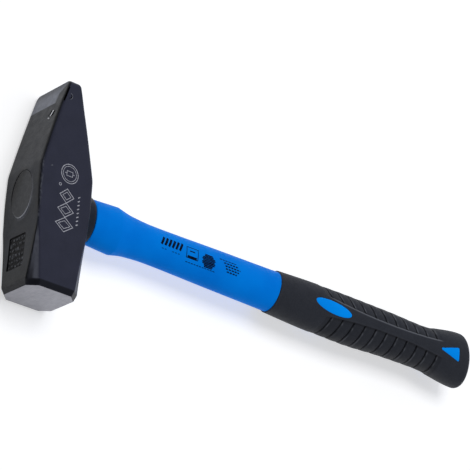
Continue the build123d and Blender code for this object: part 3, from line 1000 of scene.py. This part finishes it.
def make_grip():
    """Rubber grip over the tang: ribbed sides, a smooth band and a flared, rounded butt."""
    rings = [ellipse(x, *TANG_HALF, GRIP_POINTS) for x in (TANG_END + 0.05, 300, 240, GRIP_START + 12)]
    rings.append(slanted(ellipse(0, *TANG_HALF, GRIP_POINTS), GRIP_START + 0.02))
    for inset, step in ((0.5, 0.02), (0.16, 0.06), (0.03, 0.18)):
        lip = ellipse(0, FRONT_HALF[0] - inset, FRONT_HALF[1] - inset, GRIP_POINTS)
        rings.append(slanted(lip, GRIP_START + step))
    outside, rub, grime_and_shade = grip_outside()
    before = len(rings) * GRIP_POINTS
    rings += list(outside)
    for bend in np.linspace(0.12, math.pi / 2, 12):
        x = BUTT - BUTT_DOME - BUTT_ROUNDING * (1 - math.sin(bend))
        inset = BUTT_ROUNDING * (1 - math.cos(bend))
        rings.append(plain_grip(np.full(GRIP_POINTS, x), full_turn(GRIP_POINTS), inset))
    rings += towards_middle(rings[-1], (0.93, 0.85, 0.75, 0.62, 0.48, 0.34, 0.2, 0.08), (0.33, 0, 0))
    grip = ring_solid("grip_rubber", rings, RUBBER)
    after = len(grip.data.vertices) - before - rub.size
    # Wear with painted highlight, and painted shade in the grooves, for the rubber's material.
    store(grip, rub=np.pad(rub.ravel(), (before, after)), groove=np.pad(grime_and_shade.ravel(), (before, after)))
    cutters = []
    for outline, floor in ((oval_outline, OVAL_LOW[2]), (triangle_outline, TRIANGLE_LOW[2])):
        cutters += [seat_cutter(outline(0.0), floor - 0.02, side) for side in (1, -1)]
    cut_away(grip, joined(cutters))
    dress(grip, "grip_rubber", "grip_sleeve")


OVAL_TILT = math.tan(math.radians(3.5))
OVAL_STRETCH = 0.4  # how much longer and slimmer than in the CAD part, at each side
TRIANGLE_LENGTH = 18.4
TRIANGLE_WIDTH = 10.4
TRIANGLE_CORNER = 0.9
INLAY_GAP = 0.12


def oval_outline(gap):
    """Outline of the oval inlay, drawn in by gap."""
    middle = (OVAL_LOW + OVAL_HIGH) / 2
    half = (OVAL_HIGH - OVAL_LOW) / 2
    turn = full_turn(96)
    along = (half[0] + OVAL_STRETCH - gap) * np.cos(turn)
    across = (half[1] - OVAL_STRETCH - gap) * np.sin(turn) - OVAL_TILT * along
    return np.stack([middle[0] + along, middle[1] + across], axis=1)


def triangle_outline(gap):
    """Outline of the triangular inlay with rounded corners, drawn in by gap."""
    base = TRIANGLE_HIGH[0] + 0.05
    half = TRIANGLE_WIDTH / 2
    corners = [np.array(corner) for corner in ((base - TRIANGLE_LENGTH, 0.0), (base, -half), (base, half))]
    points = []
    for i, corner in enumerate(corners):
        legs = [corners[i - 1] - corner, corners[(i + 1) % 3] - corner]
        legs = [leg / np.linalg.norm(leg) for leg in legs]
        half_angle = math.acos(float(legs[0] @ legs[1])) / 2
        bisector = sum(legs) / np.linalg.norm(sum(legs))
        centre = corner + bisector * TRIANGLE_CORNER / math.sin(half_angle)
        spokes = [corner + leg * TRIANGLE_CORNER / math.tan(half_angle) - centre for leg in legs]
        start, end = (math.atan2(spoke[1], spoke[0]) for spoke in spokes)
        sweep = (end - start + math.pi) % (2 * math.pi) - math.pi
        points += arc(*centre, TRIANGLE_CORNER - gap, start + sweep * np.linspace(0, 1, 10))
    return np.array(fine_line(points, 0.6, True))


def seat_cutter(outline, floor, side):
    """Column over an inlay's outline, from the seat's floor outwards."""
    bottom = np.column_stack([outline, np.full(len(outline), floor)])
    top = np.column_stack([outline, np.full(len(outline), GRIP_HIGH[2] + 3)])
    for ring in (bottom, top):
        ring[:, 2] = AXIS + side * (ring[:, 2] - AXIS)
    return ring_solid("seat_cutter", [bottom, top], RUBBER)


def make_inlay(name, outline, floor, side, node):
    """Inlay with softened edges, very slightly crowned over the grip."""
    middle = outline.mean(axis=0)
    rings = []
    for share in (0.3, 0.97):
        flat = middle + (outline - middle) * share
        rings.append(np.column_stack([flat, np.full(len(flat), floor)]))
    for share, lift in ((1.0, -1.0), (1.0, -0.3), (0.992, -0.13), (0.97, -0.03), (0.93, 0.02), (0.85, 0.05),
                        (0.72, 0.07), (0.55, 0.09), (0.35, 0.1), (0.15, 0.1)):
        flat = middle + (outline - middle) * share
        rings.append(np.column_stack([flat, grip_top(flat[:, 0], flat[:, 1]) + lift]))
    for ring in rings:
        ring[:, 2] = AXIS + side * (ring[:, 2] - AXIS)
    dress(ring_solid(name, rings, INLAY_BLUE), "inlay_plastic", node)


# ---- printed marks, a scratch, and chips and a dent drawn as painted highlight and painted shade

PRINT_PROUD = 0.035
FLANK_EXTRA = 0.04  # clears the flat facets of the head's mesh


def cheek_surface(x, y, lift):
    """Place on the upper cheek, raised by lift."""
    top = AXIS + float(cheek_at(y))
    return x, y, top - forge_depth((x, y, top)) + lift


def flank_surface(z, y, lift):
    """Place on the head's side away from the handle, raised by lift."""
    x = -float(rounded_side_at(y))
    return x + forge_depth((x, y, z)) - lift - FLANK_EXTRA, y, z


def jacket_surface(x, y, lift):
    """Place on the jacket's upper side, raised by lift."""
    depth, thickness = jacket_half(x)
    return x, y, AXIS + float(thickness) * math.sqrt(max(0.0, 1 - (y / float(depth)) ** 2)) + lift


def stroke(points, width, surface, closed):
    """Points and faces of a thin line that follows a surface, half sunk in it."""
    path = np.array(fine_line(points, 0.7, closed))
    count = len(path)
    onward = np.roll(path, -1, axis=0) - path
    if not closed:
        onward[-1] = onward[-2]
    onward /= np.linalg.norm(onward, axis=1, keepdims=True)
    before = np.roll(onward, 1, axis=0)
    if not closed:
        before[0] = onward[0]
    along = onward + before
    along /= np.linalg.norm(along, axis=1, keepdims=True)
    half = width / 2 / np.maximum(0.5, np.sum(along * before, axis=1, keepdims=True))
    side = along[:, ::-1] * (-1, 1) * half
    corners = []
    for left, right in zip(path - side, path + side):
        for edge in (left, right):
            corners += [surface(*edge, PRINT_PROUD), surface(*edge, -PRINT_PROUD)]
    faces = []
    for i in range(count if closed else count - 1):
        a, b = 4 * i, 4 * ((i + 1) % count)
        faces += [(a + j, b + j, b + k, a + k) for j, k in ((0, 2), (2, 3), (3, 1), (1, 0))]
    if not closed:
        e = 4 * (count - 1)
        faces += [(0, 2, 3, 1), (e, e + 1, e + 3, e + 2)]
    return corners, faces


def make_print(name, strokes, surface, material, slot):
    """One piece from several strokes: (points, width, closed)."""
    points, faces = [], []
    for path, width, closed in strokes:
        new_points, new_faces = stroke(path, width, surface, closed)
        faces += [tuple(k + len(points) for k in face) for face in new_faces]
        points += new_points
    dress(mesh_object(name, points, faces, material), slot)


def circle(x, y, radius, width, count=40):
    return arc(x, y, radius, full_turn(count)), width, True


def box_line(x, y, half_x, half_y, width):
    corners = [(x - half_x, y - half_y), (x + half_x, y - half_y), (x + half_x, y + half_y)]
    return corners + [(x - half_x, y + half_y)], width, True


def diamond(x, y, half_x, half_y, width):
    return [(x - half_x, y), (x, y - half_y), (x + half_x, y), (x, y + half_y)], width, True


def line(x, y, length, width, rise=0.0):
    return [(x, y), (x + length, y + rise)], width, False


def cheek_strokes():
    """Generic marks on the cheek: a ring round a box, three diamonds and a row of ticks."""
    x, y = 1.2, 15.6
    strokes = [circle(x, y, 6.0, 0.45), circle(x, y, 4.7, 0.3), box_line(x, y, 2.1, 1.5, 0.35)]
    strokes += [line(x - 3.4, y, 1.3, 0.35), line(x + 2.1, y, 1.3, 0.35)]
    for y, half_x in ((1.2, 5.0), (-7.8, 5.6), (-17.0, 6.2)):
        strokes.append(diamond(0.6, y, half_x, 4.5, 0.45))
        strokes.append(diamond(0.6, y, half_x - 2.1, 2.5, 0.35))
    strokes += [line(8.6, 2.6 - 2.5 * k, 1.4, 0.6, rise=0.9) for k in range(8)]
    return strokes + [circle(-4.8, 7.2, 0.8, 0.4, 12)]


def jacket_strokes():
    """Generic marks on the jacket: slanting bars, a small box, a striped disc and short lines."""
    strokes = [line(x, -0.9, 2.0, 1.6, rise=5.2) for x in np.linspace(78.4, 92.4, 6)]
    strokes.append(box_line(102.2, 0.3, 4.4, 3.5, 0.45))
    strokes += [line(98.6, -2.4, 7.2, 1.5), line(100.2, 1.4, 4.0, 0.8)]
    for k in range(-4, 5):
        half = math.sqrt(5.2**2 - (1.05 * k) ** 2)
        wide = half if k % 3 else half * 0.85
        strokes.append(line(115 - wide, -0.9 + 0.98 * k, 2 * wide, 0.85))
    rows = ((123.5, 136.5), (127, 138.5), (128.0, 140), (128.5, 139), (129.5, 137.5))
    for row, (start, end) in enumerate(rows):
        for x in np.arange(start, end - 0.1, 2.3):
            strokes.append(line(x, 3.9 - 1.75 * row, min(1.7, end - x), 0.55 if row == 0 else 0.9))
    strokes += [line(x, -5.9, 1.5, 0.42) for x in np.arange(98.0, 121, 2.1)]
    return strokes + [line(x, -3.2, 1.3, 0.4) for x in (79.0, 81.2, 87.0, 89.2, 91.4)]


def make_nicks():
    """Small chips and a dent in the head's paint, near the peen and on the upper cheek, drawn as painted
    highlight, painted glint and painted shade, with a scratch and black painted shade along the cheek's edge
    near the tip.
    """
    chip_x, chip_y = -3.8, 65.2
    crescent = arc(chip_x, chip_y, 2.1, np.radians(np.linspace(-80, 70, 12)))
    # Painted shadow inside the dent's painted highlight.
    shadow = arc(chip_x, chip_y, 1.5, np.radians(np.linspace(-100, 40, 12)))
    # Black painted shade along the cheek's edge near the tip.
    dark_edge = [(-float(side_at(y)) + 0.9, y) for y in (61.0, 63.5, 66.0, 68.5, 71.0)]
    pale_strokes = [(crescent, 0.35, False), line(-12.6, 16.4, 1.4, 0.45, rise=0.7)]
    make_print("cheek_highlight_and_scratch", pale_strokes, cheek_surface, HIGHLIGHT_AND_SCRATCH, "painted_head")
    # Painted shadow of the dent and painted shade along the edge.
    dark_strokes = [(shadow, 0.5, False), (dark_edge, 1.1, False)]
    make_print("cheek_painted_shade", dark_strokes, cheek_surface, DARK_MARK, "painted_head")
    # A painted glint on the side chip, with dark lines either side of it.
    pale_strokes = [line(27.2, 52.2, 1.5, 1.3, rise=3.6), line(25.2, 51.4, 1.4, 0.6, rise=-1.0)]
    make_print("side_chip_glint", pale_strokes, flank_surface, CHIP_GLINT, "painted_head")
    dark_strokes = [line(25.7, 52.7, 1.5, 1.5, rise=3.6), line(28.7, 51.7, 1.5, 1.5, rise=3.6)]
    make_print("side_chip_dark_lines", dark_strokes, flank_surface, DARK_MARK, "painted_head")


# ---- scene

def make_stage():
    """Floor that the hammer lies on."""
    half = 4000
    steps = np.linspace(-half, half, 9)
    points = [(x, y, -0.02) for y in steps for x in steps]
    faces = grid_faces(len(steps), len(steps))
    floor = mesh_object("floor", points, faces, pale_paper())


def make_camera():
    """Camera that looks down on the cheek from the striking face's side."""
    azimuth, elevation, roll = (math.radians(a) for a in (215.2, 45.54, 66.97))
    target = Vector((141.67, 28.55, 18.0)) * MM
    distance = 1467.8 * MM
    level = math.cos(elevation)
    back = Vector((level * math.cos(azimuth), level * math.sin(azimuth), math.sin(elevation)))
    right = Vector((0, 0, 1)).cross(back).normalized()
    turn = Matrix((right, back.cross(right), back)).transposed() @ Matrix.Rotation(roll, 3, "Z")
    camera = bpy.data.objects.new("camera", bpy.data.cameras.new("camera"))
    bpy.context.scene.collection.objects.link(camera)
    camera.matrix_world = Matrix.Translation(target + back * distance) @ turn.to_4x4()
    camera.data.sensor_width = 36
    camera.data.lens = 179.87
    camera.data.clip_end = 20
    bpy.context.scene.camera = camera


def add_softbox(place, target, size, watts):
    """Large square light aimed at a place, both in metres, with no highlight of its own."""
    light = bpy.data.lights.new("key", "AREA")
    light.shape = "SQUARE"
    light.size = size
    light.energy = watts
    made = bpy.data.objects.new("key", light)
    bpy.context.scene.collection.objects.link(made)
    made.location = place
    made.rotation_euler = (Vector(place) - Vector(target)).to_track_quat("Z", "Y").to_euler()
    made.visible_glossy = False


TENT_STRENGTH = 0.52
DARK_SIDE = Vector((-0.72, -0.12, 0.6)).normalized()  # the side of the studio with no lights


def make_lights():
    """A white tent, dark on one side, and one large soft light."""
    world = bpy.data.worlds.new("studio")
    world.use_nodes = True
    tree = world.node_tree
    direction = add_node(tree, "TexCoord").outputs["Generated"]
    towards = add_node(tree, "VectorMath")
    towards.operation = "DOT_PRODUCT"
    tree.links.new(direction, towards.inputs[0])
    towards.inputs[1].default_value = DARK_SIDE
    dim = TENT_STRENGTH * 0.12
    fade = add_node(tree, "MapRange", From_Min=0.25, From_Max=0.8, To_Min=TENT_STRENGTH, To_Max=dim)
    fade.interpolation_type = "SMOOTHSTEP"
    tree.links.new(towards.outputs["Value"], fade.inputs["Value"])
    background = tree.nodes["Background"].inputs
    background["Color"].default_value = (0.9, 0.95, 1.1, 1)
    tree.links.new(fade.outputs["Result"], background["Strength"])
    bpy.context.scene.world = world
    bpy.context.scene.view_settings.view_transform = "Standard"
    add_softbox((0.05, 0.45, 2.2), (0.12, 0.0, 0.0), 1.3, 30)


make_camera()
make_head()
make_bond()
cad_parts["core_rod"].data.materials.clear()
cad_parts["core_rod"].data.materials.append(FIBRE)
make_collar()
make_jacket()
make_grip()
for side, place in ((1, "upper"), (-1, "lower")):
    make_inlay(f"{place}_oval", oval_outline(INLAY_GAP), OVAL_LOW[2], side, f"{place}_oval_inlay")
    make_inlay(f"{place}_triangle", triangle_outline(INLAY_GAP), TRIANGLE_LOW[2], side, f"{place}_butt_inlay")
make_print("cheek_marks", cheek_strokes(), cheek_surface, CHEEK_INK, "painted_head")
make_print("jacket_marks", jacket_strokes(), jacket_surface, JACKET_INK, "blue_plastic")
make_nicks()
make_stage()
make_lights()
